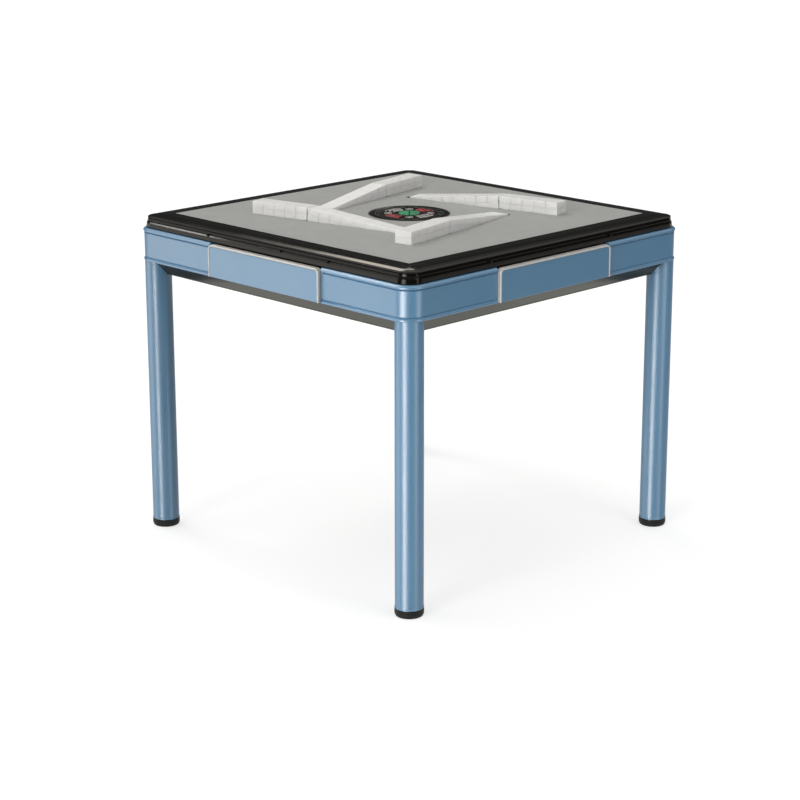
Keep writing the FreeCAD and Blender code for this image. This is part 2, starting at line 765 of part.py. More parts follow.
def control_disc():
    """Round control disc on its column, its top panel, two half-round keys and a key for each seat."""
    housing = lathe("disc_turned", [
        ("0", f"{floor_top} + stop_gap"), ("column_radius", f"{floor_top} + stop_gap"),
        ("column_radius", disc_bottom), ("disc_radius", disc_bottom), ("disc_radius", "surface_height"),
        ("disc_radius - disc_ring", "surface_height"), ("disc_radius - disc_ring", panel_bottom),
        ("0", panel_bottom),
    ])
    plate = rod("panel_plate", panel_radius, ("0", "0", panel_bottom), "panel_thickness")
    spans = {"housing": (key_floor, f"{panel_bottom} - {key_floor} + key_room"),
             "panel": (f"{panel_bottom} - key_room", "panel_thickness + 2 * key_room")}
    well_radius = "half_key_radius + half_key_split / 2 + key_gap"
    holes = {}
    for piece, (low, height) in spans.items():
        well = rod(f"{piece}_well", well_radius, ("0", "0", low), height)
        sockets = [seat_key(f"{piece}_{side}", turn - 90, "key_gap", low, height)
                   for side, turn in SIDES.items()]
        holes[piece] = [well] + sockets
    keep("disc_housing", cut("disc_cut", housing, holes["housing"]))
    keep("disc_panel", cut("panel_cut", plate, holes["panel"]))
    for label, heading in HALF_KEYS.items():
        shift = (f"half_key_split / 2 * cos({heading})", f"half_key_split / 2 * sin({heading})")
        key = rod(f"{label}_half", "half_key_radius", (*shift, key_bottom), "key_height", angle="180",
                  heading=heading - 90)
        keep(label, group(f"{label}_piece", [key]))
    for side, turn in SIDES.items():
        label = f"seat_key_{side}"
        keep(label, seat_key(label, -90, "0", key_bottom, "key_height"), turn)


def shuffle_drive():
    """Guide tube of the disc's column, the drum that turns round it, and its motor and roller."""
    bore = "column_radius + running_gap"
    flange_top = f"({floor_top} + guide_flange_height)"
    guide_top = f"({floor_top} + guide_height)"
    keep("column_guide", lathe("guide_turned", [
        (bore, floor_top), ("guide_flange_radius", floor_top), ("guide_flange_radius", flange_top),
        ("guide_radius", flange_top), ("guide_radius", guide_top), (bore, guide_top),
    ]))
    hub_bore = "guide_radius + running_gap"
    wall_inner = "(drum_radius - drum_wall)"
    rim_top = f"({drum_bottom} + drum_height)"
    floor_rise = f"({drum_underside} + drum_floor)"
    hub_top = f"({drum_bottom} + hub_height)"
    keep("shuffle_drum", lathe("drum_turned", [
        (hub_bore, drum_bottom), ("hub_radius", drum_bottom), ("hub_radius", drum_underside),
        ("drum_radius", drum_underside), ("drum_radius", rim_top), (wall_inner, rim_top),
        (wall_inner, floor_rise), ("hub_radius", f"{floor_rise} + drum_cone"), ("hub_radius", hub_top),
        (hub_bore, hub_top),
    ]))
    reach = "(drum_radius + roller_radius + roller_gap)"
    drive_place = (f"{reach} * cos(drive_angle)", f"{reach} * sin(drive_angle)", floor_top)
    motor_bore_radius = "shaft_radius + running_gap"
    motor_height = f"({drum_underside} - {floor_top} - motor_gap)"
    bore_bottom = f"{motor_height} - motor_bore"
    motor = lathe("motor_turned", [
        ("0", "0"), ("motor_radius", "0"), ("motor_radius", motor_height),
        (motor_bore_radius, motor_height), (motor_bore_radius, bore_bottom), ("0", bore_bottom),
    ])
    base_at(motor, drive_place)
    keep("drum_motor", group("motor_group", [motor]))
    shaft_bottom = f"{bore_bottom} + stop_gap"
    roller_top = "roller_rise + roller_height"
    roller = lathe("roller_turned", [
        ("0", shaft_bottom), ("shaft_radius", shaft_bottom), ("shaft_radius", "roller_rise"),
        ("roller_radius", "roller_rise"), ("roller_radius", roller_top), ("0", roller_top),
    ])
    base_at(roller, drive_place)
    keep("drive_roller", group("roller_group", [roller]))


def pickup_wheels():
    """Wheels beside the drum that lift tiles out of it, each on the shaft of a small motor on a foot."""
    floor = f"({floor_top} - surface_height)"
    level = f"({floor} + wheel_rise)"
    wheel_start = "(wheel_distance - wheel_width / 2)"
    motor_end = f"({wheel_start} - wheel_motor_gap)"
    motor_start = f"({motor_end} - wheel_motor_length)"
    shaft_start = f"({wheel_start} - wheel_shaft_length)"
    axis = (1, 0, 0)
    motors = []
    for side, turn in SIDES.items():
        disc_start = (wheel_start, "-wheel_setback", level)
        disc = rod(f"wheel_disc_{side}", "wheel_radius", disc_start, "wheel_width", axis)
        shaft = rod(f"wheel_shaft_{side}", "wheel_shaft_radius", (shaft_start, "-wheel_setback", level),
                    "wheel_shaft_length + wheel_width / 2", axis)
        wheel = fuse(f"wheel_{side}", [disc, shaft])
        wheel.Placement = wall_place(0)
        keep(f"pickup_wheel_{side}", wheel, turn)
        can = rod(f"can_{side}", "wheel_motor_radius", (motor_start, "-wheel_setback", level),
                  "wheel_motor_length", axis)
        foot = box(f"foot_{side}", (motor_start, "-wheel_setback - wheel_motor_foot / 2", floor),
                   (motor_end, "-wheel_setback + wheel_motor_foot / 2", level))
        bore = rod(f"can_bore_{side}", "wheel_shaft_radius + running_gap",
                   (f"{shaft_start} - stop_gap", "-wheel_setback", level), "wheel_shaft_length", axis)
        motor = cut(f"wheel_motor_{side}", fuse(f"can_foot_{side}", [can, foot]), [bore])
        motor.Placement = wall_place(turn)
        motors.append(motor)
    keep("wheel_motors", group("wheel_motor_group", motors))


def power_pieces():
    """Power supply and control board on the tray floor, and the inlet with its rocker switch below it."""
    far = f"({inner_near} - supply_gap)"
    near = f"({far} - supply_width)"
    case = box("supply_case", (near, near, floor_top), (far, far, f"{floor_top} + supply_height"))
    keep("power_supply", group("supply_group", [case]))
    circuit_near = f"({far} - circuit_width)"
    standoff_top = f"({floor_top} + standoff_height)"
    circuit_top = f"{standoff_top} + circuit_thickness"
    circuit = [box("circuit_plate", (f"-{far}", circuit_near, standoff_top),
                   (f"-{circuit_near}", far, circuit_top))]
    standoffs = (f"({circuit_near} + standoff_edge)", f"({far} - standoff_edge)")
    for across in standoffs:
        for along in standoffs:
            place = (f"-{across}", along, floor_top)
            circuit.append(rod(f"standoff_{len(circuit)}", "standoff_radius", place, "standoff_height"))
    keep("control_board", group("circuit_group", circuit))
    mouth = f"({tray_bottom} - inlet_flange_height)"
    inlet_reach = "(inlet_width / 2)"
    body = box("inlet_body", (inlet_start, f"{inlet_place} - {inlet_reach}", mouth),
               (inlet_end, f"{inlet_place} + {inlet_reach}", f"{tray_bottom} + inlet_height"))
    flange_reach = f"({inlet_reach} + inlet_flange)"
    flange = box("inlet_flange_plate",
                 (f"{inlet_start} - inlet_flange", f"{inlet_place} - {flange_reach}", mouth),
                 (f"{inlet_end} + inlet_flange", f"{inlet_place} + {flange_reach}", tray_bottom))
    below = f"{mouth} - inlet_web"
    socket = box("inlet_socket", (socket_start, f"{inlet_place} - socket_width / 2", below),
                 ("-inlet_web / 2", f"{inlet_place} + socket_width / 2", f"{mouth} + socket_depth"))
    rocker_reach = "(rocker_width / 2 + rocker_gap)"
    cradle = box("rocker_cradle", ("inlet_web / 2", f"{inlet_place} - {rocker_reach}", below),
                 (rocker_end, f"{inlet_place} + {rocker_reach}", f"{mouth} + rocker_room"))
    axle = f"({rocker_reach} + rocker_pin_grip)"
    axle_level = f"{mouth} + rocker_height / 4"
    rocker_middle = f"(inlet_web / 2 + {rocker_end}) / 2"
    hole = rod("rocker_hole", "rocker_pin_radius + running_gap",
               (rocker_middle, f"{inlet_place} - {axle} - stop_gap", axle_level),
               f"2 * ({axle} + stop_gap)", (0, 1, 0))
    keep("power_inlet", cut("inlet_cut", fuse("inlet_solid", [body, flange]), [socket, cradle, hole]))
    bar = box("rocker_bar", ("-rocker_length / 2", "-rocker_width / 2", "-rocker_height / 2"),
              ("rocker_length / 2", "rocker_width / 2", "rocker_height / 2"))
    pin = rod("rocker_pin", "rocker_pin_radius", ("0", f"-{axle}", "0"), f"2 * {axle}", (0, 1, 0))
    rocker = fuse("rocker_solid", [bar, pin])
    middle = FreeCAD.Vector(number(rocker_middle), number(inlet_place), number(axle_level))
    tip = FreeCAD.Rotation(FreeCAD.Vector(0, 1, 0), number("rocker_tilt"))
    rocker.Placement = FreeCAD.Placement(middle, tip)
    keep("rocker_switch", rocker)


leg_pieces()
corner_pieces()
chassis_rails()
base_tray()
skirt_corners()
rim_rails()
table_top()
tile_walls()
lift_pieces()
drawer_pieces()
drawer_runners()
control_disc()
shuffle_drive()
pickup_wheels()
power_pieces()
doc.recompute()

failed = [thing.Label for thing in doc.Objects if {"Invalid", "Error"} & set(thing.State)]
if failed:
    raise RuntimeError(f"these did not build: {failed}")
for label, thing in nodes.items():
    if thing.Shape.isNull() or not thing.Shape.isValid() or not thing.Shape.Solids:
        raise RuntimeError(f"{label} has no valid solid")

os.makedirs("parts", exist_ok=True)
for label, thing in nodes.items():
    thing.Shape.exportStep(f"parts/{label}.step")
    print(label, len(thing.Shape.Solids), round(thing.Shape.Volume))
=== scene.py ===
"""A square automatic mahjong table: blue band and legs, glossy black rim, grey cloth, a drawer in each side,
four walls of white tiles and a round control disc.

Shapes are drawn in millimetres and stored in metres. A reach is a distance from the table's middle out to a
side. The third number of a profile's corner is the radius that rounds it."""

import json
import math

import bmesh
import bpy
from mathutils import Matrix, Vector


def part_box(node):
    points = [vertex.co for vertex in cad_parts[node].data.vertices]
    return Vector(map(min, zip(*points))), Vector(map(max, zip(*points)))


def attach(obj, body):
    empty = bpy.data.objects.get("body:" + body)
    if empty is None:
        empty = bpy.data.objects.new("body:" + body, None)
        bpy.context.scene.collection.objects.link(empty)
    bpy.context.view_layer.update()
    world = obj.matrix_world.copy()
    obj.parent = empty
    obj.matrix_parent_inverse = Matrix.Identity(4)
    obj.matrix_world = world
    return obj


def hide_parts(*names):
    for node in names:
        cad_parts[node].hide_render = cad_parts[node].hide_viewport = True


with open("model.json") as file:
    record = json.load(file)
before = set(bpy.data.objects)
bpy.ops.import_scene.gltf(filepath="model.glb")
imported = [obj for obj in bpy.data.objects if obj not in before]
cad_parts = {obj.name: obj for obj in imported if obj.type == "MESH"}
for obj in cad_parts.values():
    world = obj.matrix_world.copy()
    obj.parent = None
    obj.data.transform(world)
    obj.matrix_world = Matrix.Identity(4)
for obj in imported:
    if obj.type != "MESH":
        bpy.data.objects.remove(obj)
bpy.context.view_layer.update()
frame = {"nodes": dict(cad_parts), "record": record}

MM = 0.001
# every side is drawn as the south one, which faces -Y, and turned by these degrees
TURNS = {"south": 0, "east": 90, "north": 180, "west": 270}


def box_mm(node):
    """Lowest and highest corner of a CAD node, in millimetres."""
    low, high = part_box(node)
    return low / MM, high / MM


# sizes read from the frame
band_low, band_high = box_mm("skirt_corners")
rim_low, rim_high = box_mm("rim_rails")
cloth_low, cloth_high = box_mm("playing_cloth")
leg_low, leg_high = box_mm("legs")
foot_high = box_mm("foot_caps")[1]
trim_low, trim_high = box_mm("drawer_trim_south")
front_low, front_high = box_mm("drawer_front_south")
surface = cloth_high.z
band_half = band_high.x
rim_half = rim_high.x

# fineness of round shapes, and the angle in degrees above which an edge stays sharp
FILLET_STEPS = 5
ARC_STEPS = 14
ROUND_STEPS = 64
SHARP_ANGLE = 35

# softened CAD nodes: points nearer than the gap are joined, and edges above the angle are rounded
WELD_GAP = 0.01
SOFT_ANGLE = 40
BOX_SOFTNESS = 0.8
KEY_SOFTNESS = 0.5

# corners of the band and the rim, seen from above
BAND_CORNER = 45
LEAST_CORNER = 0.5
corner_centre = band_half - BAND_CORNER

# legs, with the outside of a tube's low end: out from its radius, up from its end
LEG_RADIUS = 31
LEG_WALL = 3
LEG_ROLL = ((0.6, 0, 0.8), (0.6, 3.2, 1.2), (0, 4.6, 0.8))

# feet, with the outside of a cap: in from its radius, up from the floor
FOOT_RADIUS = 32
FOOT_MIDDLE = 1
FOOT_HOLLOW = 0.8
FOOT_SIDE = ((9, FOOT_HOLLOW, 0.4), (8, 0, 0.4), (2.5, 0, 3), (0, 6, 4))
FOOT_EDGE = 1.6
FOOT_GAP = 0.2
leg_place = foot_high.x - FOOT_RADIUS

# band, with its two beads and grooves: in from its widest, up from its low edge or down from its high edge
BAND_DEPTH = 14
LOW_BEAD = ((0, 0, 2), (0, 4.5, 0.8), (3, 7.4, 0.4), (4.4, 8.2, 0.3), (2, 10, 0.3))
HIGH_BEAD = ((2, 12, 0.4), (4.4, 9.6, 0.3), (4.4, 8.6, 0.3), (0, 7.6, 1), (0, 4, 1), (4, 0, 1))

# rim, with the outlines of its parts: in from its widest, down from its top
RIM_GAP = 0.3
RIM_EDGE = 3
RIM_EDGE_ROUND = 0.5
RIM_DEPTH = 52
RIM_SLOPE = ((34, 0.4, 20), (20, 1.8, 60), (8, 4.2, 8))
RIM_CREST = ((4.2, 5.8, 0.8), (4.2, 6.9, 0.3))
RIM_UPPER_SIDE = ((7.4, 7.4, 0.3), (7.4, 8.6, 0.3), (4.4, 9.2, 0.5), (3.4, 14, 0.5))
RIM_LOWER_SIDE = ((6, 14.6, 0.3), (6, 16.2, 0.3), (2.6, 16.6, 0.3), (1.3, 20, 0.5))
# the same, but up from its low edge
RIM_LIP = ((0, 2, 0.8), (3, 1.2, 0.3), (3, 0, 0))
RIM_SEAT = ((30, 0, 0), (30, 13, 0), (RIM_DEPTH, 13, 0))

# fittings in the side of the rim
FITTING_DROP = 17
FITTING_ROOT = 8
SCREW_PLACE = 197
SCREW_RADIUS = 2.6
SCREW_PROUD = 0.4
SCREW_ROUND = 0.5
SCREW_RECESS = 1
SCREW_RECESS_ROUND = 0.2
SOCKET_START = -18
SOCKET_END = 48
SOCKET_HALF = 2.6
SOCKET_CORNER = 1
SOCKET_SHOULDER = 0.2
SOCKET_PROUD = 0.7
SOCKET_CHAMFER = 0.5

# drawers
DRAWER_GAP = 1.5
TRIM_WIDTH = 4.5
TRIM_RADIUS = 12
TRIM_INNER_ROUND = 1.4
TRIM_OUTER_ROUND = 2.2
TRIM_STEPS = 6
FRONT_EDGE = 1.2
FRONT_EDGE_STEPS = 4
FRONT_LOW_CORNER = 1
front_corner = TRIM_RADIUS - TRIM_WIDTH
band_end = trim_high.x + DRAWER_GAP

# tile walls
TILE = Vector((30.7, 42, 14.7))
TILE_GAP = 0.3
TILE_ROUND = 0.4
TILE_LAYERS = 2
tile_pitch = TILE.x + TILE_GAP
FLAT_STACKS = 5
RAMP_STACKS = 8
HINGE = Vector((-106, -208, surface))
WALL_ANGLE = 11.6
HINGE_DROP = 9
RAMP_TILT = 6

# cloth and its slots, along a wall from its hinge
CLOTH_EDGE = 0.4
SLOT_START = -9
SLOT_SPARE = 16
SLOT_GAP = 2
SLOT_END = RAMP_STACKS * tile_pitch + SLOT_SPARE
SLOT_HALF = TILE.y / 2 + SLOT_GAP

# control disc, with the inner and outer radius of each of its marks, and spans in degrees
DISC_HOLE = 95.5
MARK_SUNK = 0.3
MARK_PROUD = 0.2
MARK_STEP = 5
MARK_LEAST_STEPS = 8
FINE_RINGS = ((68, 68.8), (78, 79))
ARC_BAND = (63, 65)
ARC_SPAN = 42
DASH_BAND = (72, 75)
DASH_SPAN = 8
DASH_OFFSET = 12
DOT_PLACE = 49
DOT_RING = (7.5, 9)
DOT = (1.5, 4)


def filleted(corners, steps=FILLET_STEPS):
    """Closed outline through (x, y, radius) corners, each rounded to its radius."""
    points = []
    for index, (x, y, radius) in enumerate(corners):
        here = Vector((x, y))
        if radius == 0:
            points.append(here)
            continue
        before = (Vector(corners[index - 1][:2]) - here).normalized()
        after = (Vector(corners[(index + 1) % len(corners)][:2]) - here).normalized()
        half = before.angle(after) / 2
        centre = here + (before + after).normalized() * radius / math.sin(half)
        start = here + before * radius / math.tan(half) - centre
        end = here + after * radius / math.tan(half) - centre
        swing = -start.angle_signed(end)
        for step in range(steps + 1):
            points.append(centre + Matrix.Rotation(swing * step / steps, 2) @ start)
    return points


def ring(radius, x=0, y=0):
    """Points of a circle round x, y."""
    angles = [2 * math.pi * step / ROUND_STEPS for step in range(ROUND_STEPS)]
    return [(x + radius * math.cos(a), y + radius * math.sin(a)) for a in angles]


def oblong(left, right, low, high):
    """Corners of an oblong."""
    return [(left, low), (right, low), (right, high), (left, high)]


def corner_arc(reach, start, end):
    """Points round the front right corner of a square of this reach, between two headings in degrees."""
    middle = min(corner_centre, reach - LEAST_CORNER)
    radius = reach - middle
    headings = [math.radians(start + (end - start) * step / ARC_STEPS) for step in range(ARC_STEPS + 1)]
    return [(middle + radius * math.cos(a), -middle + radius * math.sin(a)) for a in headings]


def level(outline, height):
    """Lay an outline of (x, y) points flat at a height."""
    return [(x, y, height) for x, y in outline]


def upright(outline, reach):
    """Stand an outline of (x, z) points up to face south, at a reach from the middle."""
    return [(x, -reach, z) for x, z in outline]


def loft(bm, loops, closed=False):
    """Skin a row of loops with equal counts of points, capped at its ends or joined end to start."""
    rings = [[bm.verts.new(point) for point in loop] for loop in loops]
    pairs = list(zip(rings, rings[1:]))
    if closed:
        pairs.append((rings[-1], rings[0]))
    else:
        bm.faces.new(reversed(rings[0]))
        bm.faces.new(rings[-1])
    count = len(rings[0])
    for loop, following in pairs:
        for index in range(count):
            beside = (index + 1) % count
            bm.faces.new((loop[index], loop[beside], following[beside], following[index]))
    return [vert for loop in rings for vert in loop]


def sweep(bm, profile, path):
    """Carry a closed profile of (reach, height) points along path(reach), a list of x, y points."""
    lines = [level(path(reach), height) for reach, height in profile]
    return loft(bm, list(zip(*lines)))


def turn(bm, verts, degrees):
    """Turn vertices about the table's upright middle line."""
    bmesh.ops.rotate(bm, verts=verts, cent=(0, 0, 0), matrix=Matrix.Rotation(math.radians(degrees), 3, "Z"))


def piece(name, bm, body, slot, *nodes):
    """Make a mesh drawn in millimetres a piece that rides a body and stands for the CAD nodes named."""
    bmesh.ops.recalc_face_normals(bm, faces=bm.faces)
    bmesh.ops.scale(bm, vec=(MM, MM, MM), verts=bm.verts)
    mesh = bpy.data.meshes.new(name)
    bm.to_mesh(mesh)
    bm.free()
    dress(name, mesh, body, slot, *nodes)


def dress(name, mesh, body, slot, *nodes):
    """Put a finished mesh in the scene as a piece of the table, in the finish of its material slot."""
    mesh.polygons.foreach_set("use_smooth", [True] * len(mesh.polygons))
    mesh.set_sharp_from_angle(angle=math.radians(SHARP_ANGLE))
    mesh.materials.clear()
    mesh.materials.append(finishes[slot])
    obj = bpy.data.objects.new(name, mesh)
    bpy.context.scene.collection.objects.link(obj)
    # large faces stay flat, and only the narrow ones between them shade as rounded
    obj.modifiers.new("flat_faces", "WEIGHTED_NORMAL").keep_sharp = True
    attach(obj, body)
    if nodes:
        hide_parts(*nodes)
    return obj


def soften(node, width):
    """Round the hard edges of a CAD node a little, joining the split points of its mesh first."""
    obj = frame["nodes"][node]
    weld = obj.modifiers.new("weld", "WELD")
    weld.merge_threshold = WELD_GAP * MM
    bevel = obj.modifiers.new("soft_edges", "BEVEL")
    bevel.width = width * MM
    bevel.segments = 2
    bevel.limit_method = "ANGLE"
    bevel.angle_limit = math.radians(SOFT_ANGLE)
    bevel.harden_normals = True


def srgb(red, green, blue):
    """Linear colour from an sRGB colour of 0 to 255."""
    parts = [value / 255 for value in (red, green, blue)]
    return tuple(part / 12.92 if part <= 0.04045 else ((part + 0.055) / 1.055) ** 2.4 for part in parts)


# noise seldom leaves this range, so colours and roughness are spread over it
NOISE_LOW = 0.3
NOISE_HIGH = 0.7

# sprayed paint: sizes of its flakes, of its patches of gloss and of its orange peel
FLAKE_SIZE = 0.8
GLOSS_PATCH = 90
GLOSS_DRIFT = 0.02
PEEL_SIZE = 3.5

# blue paint: the slope by which its flakes lean up, and the direction of its grain, which is a little off
# upright so that level faces have a direction too
BLUE_DARK = srgb(64, 121, 158)
BLUE_LIGHT = srgb(72, 129, 166)
FLAKE_LEAN = 0.28
BLUE_GRAIN = {"X": 0.03, "Y": 0.02, "Z": 1}

# moulded plastic: sizes of its patches of shade and of gloss, and of the grain under its print
SHADE_PATCH = 35
POLISH_PATCH = 12
PRINT_GRAIN = 2

# bare metal: the size of its brush marks, and how much smoother and rougher than the metal they get
BRUSH_SIZE = 1.5
BRUSH_SMOOTHER = 0.05
BRUSH_ROUGHER = 0.08

# felt: sizes of its brushed patches and of its fibres
FELT_PATCH = 45
FIBRE_SIZE = 0.6

# scales of textures per millimetre: waves repeat every 0.314 / scale, tracks every 0.5 / scale
THREAD_WAVE = 0.2
PRINT_WAVE = 0.0286
TRACK_SCALE = 0.1


class Finish:
    """A material being put together on its Principled shader, over the object's own coordinates."""

    def __init__(self, name, roughness, metallic=0.0, **values):
        self.material = bpy.data.materials.new(name)
        self.material.use_nodes = True
        self.tree = self.material.node_tree
        self.shader = self.tree.nodes["Principled BSDF"]
        self.shader.inputs["Roughness"].default_value = roughness
        self.shader.inputs["Metallic"].default_value = metallic
        for key, value in values.items():
            self.shader.inputs[key.replace("_", " ")].default_value = value
        self.place = self.tree.nodes.new("ShaderNodeTexCoord").outputs["Object"]

    def node(self, kind, **settings):
        """Add a node with its settings."""
        made = self.tree.nodes.new(kind)
        for key, value in settings.items():
            setattr(made, key, value)
        return made

    def link(self, output, socket):
        """Join an output to the socket of a later node."""
        self.tree.links.new(output, socket)

    def stretched(self, stretch):
        """The surface point, drawn out along an axis where stretch is small."""
        mapping = self.node("ShaderNodeMapping")
        mapping.inputs["Scale"].default_value = stretch
        self.link(self.place, mapping.inputs["Vector"])
        return mapping.outputs["Vector"]

    def noise(self, size, stretch=(1, 1, 1), detail=3.0):
        """Noise whose blotches are about size millimetres across."""
        texture = self.node("ShaderNodeTexNoise")
        texture.inputs["Scale"].default_value = 1 / (size * MM)
        texture.inputs["Detail"].default_value = detail
        self.link(self.stretched(stretch), texture.inputs["Vector"])
        return texture.outputs["Fac"]

    def rescaled(self, value, from_low, from_high, to_low, to_high):
        """A value carried from one range to another."""
        span = self.node("ShaderNodeMapRange")
        span.inputs["From Min"].default_value = from_low
        span.inputs["From Max"].default_value = from_high
        span.inputs["To Min"].default_value = to_low
        span.inputs["To Max"].default_value = to_high
        self.link(value, span.inputs["Value"])
        return span.outputs["Result"]

    def colour(self, factor, dark, light, low=NOISE_LOW, high=NOISE_HIGH):
        """Colour the surface between two colours."""
        ramp = self.node("ShaderNodeValToRGB")
        ramp.color_ramp.elements[0].position = low
        ramp.color_ramp.elements[0].color = (*dark, 1)
        ramp.color_ramp.elements[1].position = high
        ramp.color_ramp.elements[1].color = (*light, 1)
        self.link(factor, ramp.inputs["Fac"])
        self.link(ramp.outputs["Color"], self.shader.inputs["Base Color"])

    def polish(self, factor, low, high):
        """Vary the roughness between two values."""
        roughness = self.rescaled(factor, NOISE_LOW, NOISE_HIGH, low, high)
        self.link(roughness, self.shader.inputs["Roughness"])

    def relief(self, factor, height, strength, sunk=False):
        """Raise or sink the surface by a height in millimetres, over any relief already there."""
        bump = self.node("ShaderNodeBump", invert=sunk)
        bump.inputs["Strength"].default_value = strength
        bump.inputs["Distance"].default_value = height * MM
        self.link(factor, bump.inputs["Height"])
        normal = self.shader.inputs["Normal"]
        if normal.is_linked:
            self.link(normal.links[0].from_socket, bump.inputs["Normal"])
        self.link(bump.outputs["Normal"], normal)

    def flakes(self, dark, light, roughness):
        """The fine flakes of sprayed paint, under a slow drift of gloss."""
        self.colour(self.noise(FLAKE_SIZE, detail=4), dark, light)
        self.polish(self.noise(GLOSS_PATCH), roughness - GLOSS_DRIFT, roughness + GLOSS_DRIFT)

    def peel(self):
        """The slight orange peel of sprayed paint."""
        self.relief(self.noise(PEEL_SIZE), height=0.01, strength=0.15)


def paint(name, dark, light, roughness, metallic=0.0, **values):
    """Sprayed paint."""
    finish = Finish(name, roughness, metallic, **values)
    finish.flakes(dark, light, roughness)
    finish.peel()
    return finish.material


def satin_blue(name, roughness):
    """Satin blue paint: its grain draws highlights out, and its flakes mirror lamps and not the floor."""
    finish = Finish(name, roughness, Anisotropic=0.35, Specular_IOR_Level=1.0, IOR=1.8)
    finish.flakes(BLUE_DARK, BLUE_LIGHT, roughness)
    axes = finish.node("ShaderNodeSeparateXYZ")
    finish.link(finish.place, axes.inputs["Vector"])
    finish.relief(axes.outputs["Z"], height=FLAKE_LEAN / MM, strength=1.0, sunk=True)
    finish.peel()
    grain = finish.node("ShaderNodeCombineXYZ")
    for axis, value in BLUE_GRAIN.items():
        grain.inputs[axis].default_value = value
    finish.link(grain.outputs["Vector"], finish.shader.inputs["Tangent"])
    return finish.material


def plastic(name, dark, light, roughness, grain=0.7, drift=0.06, **values):
    """Moulded plastic: a fine spark-eroded grain and a slight drift of shade."""
    finish = Finish(name, roughness, **values)
    finish.colour(finish.noise(SHADE_PATCH), dark, light)
    finish.polish(finish.noise(POLISH_PATCH), roughness - drift, roughness + drift)
    finish.relief(finish.noise(grain), height=0.01, strength=0.2)
    return finish.material


def metal(name, dark, light, roughness, stretch, metallic=1.0):
    """Bare metal with brush marks drawn out along the axis where stretch is small."""
    finish = Finish(name, roughness, metallic)
    marks = finish.noise(BRUSH_SIZE, stretch)
    finish.colour(marks, dark, light)
    finish.polish(marks, roughness - BRUSH_SMOOTHER, roughness + BRUSH_ROUGHER)
    finish.relief(marks, height=0.02, strength=0.2)
    return finish.material


def felt():
    """Short grey nap: crossed threads, loose fibres and slow shading where it was brushed."""
    finish = Finish("grey_cloth", 0.95, Sheen_Weight=0.08, Sheen_Roughness=0.5, Specular_IOR_Level=0.1)
    finish.colour(finish.noise(FELT_PATCH, detail=5), srgb(153, 153, 150), srgb(158, 158, 155))
    for direction in ("X", "Y"):
        threads = finish.node("ShaderNodeTexWave", bands_direction=direction)
        threads.inputs["Scale"].default_value = THREAD_WAVE / MM
        threads.inputs["Distortion"].default_value = 2.0
        finish.link(finish.place, threads.inputs["Vector"])
        finish.relief(threads.outputs["Fac"], height=0.12, strength=0.25)
    finish.relief(finish.noise(FIBRE_SIZE, detail=6), height=0.2, strength=0.5)
    return finish.material


def printed(name, colour):
    """Glossy black plastic with coloured rings printed about the middle of the disc."""
    finish = Finish(name, 0.25)
    rings = finish.node("ShaderNodeTexWave", wave_type="RINGS", rings_direction="Z")
    rings.inputs["Scale"].default_value = PRINT_WAVE / MM
    finish.link(finish.place, rings.inputs["Vector"])
    finish.colour(rings.outputs["Fac"], srgb(16, 14, 15), colour, low=0.45, high=0.6)
    finish.polish(finish.noise(POLISH_PATCH), low=0.2, high=0.3)
    finish.relief(finish.noise(PRINT_GRAIN), height=0.01, strength=0.2)
    return finish.material


def circuit():
    """Green circuit board with copper lines under the varnish."""
    finish = Finish("circuit_board", 0.4)
    tracks = finish.node("ShaderNodeTexBrick")
    tracks.inputs["Scale"].default_value = TRACK_SCALE / MM
    tracks.inputs["Color1"].default_value = (*srgb(24, 84, 52), 1)
    tracks.inputs["Color2"].default_value = (*srgb(20, 74, 46), 1)
    tracks.inputs["Mortar"].default_value = (*srgb(62, 128, 74), 1)
    finish.link(finish.place, tracks.inputs["Vector"])
    finish.link(tracks.outputs["Color"], finish.shader.inputs["Base Color"])
    finish.relief(tracks.outputs["Fac"], height=0.1, strength=0.4)
    return finish.material


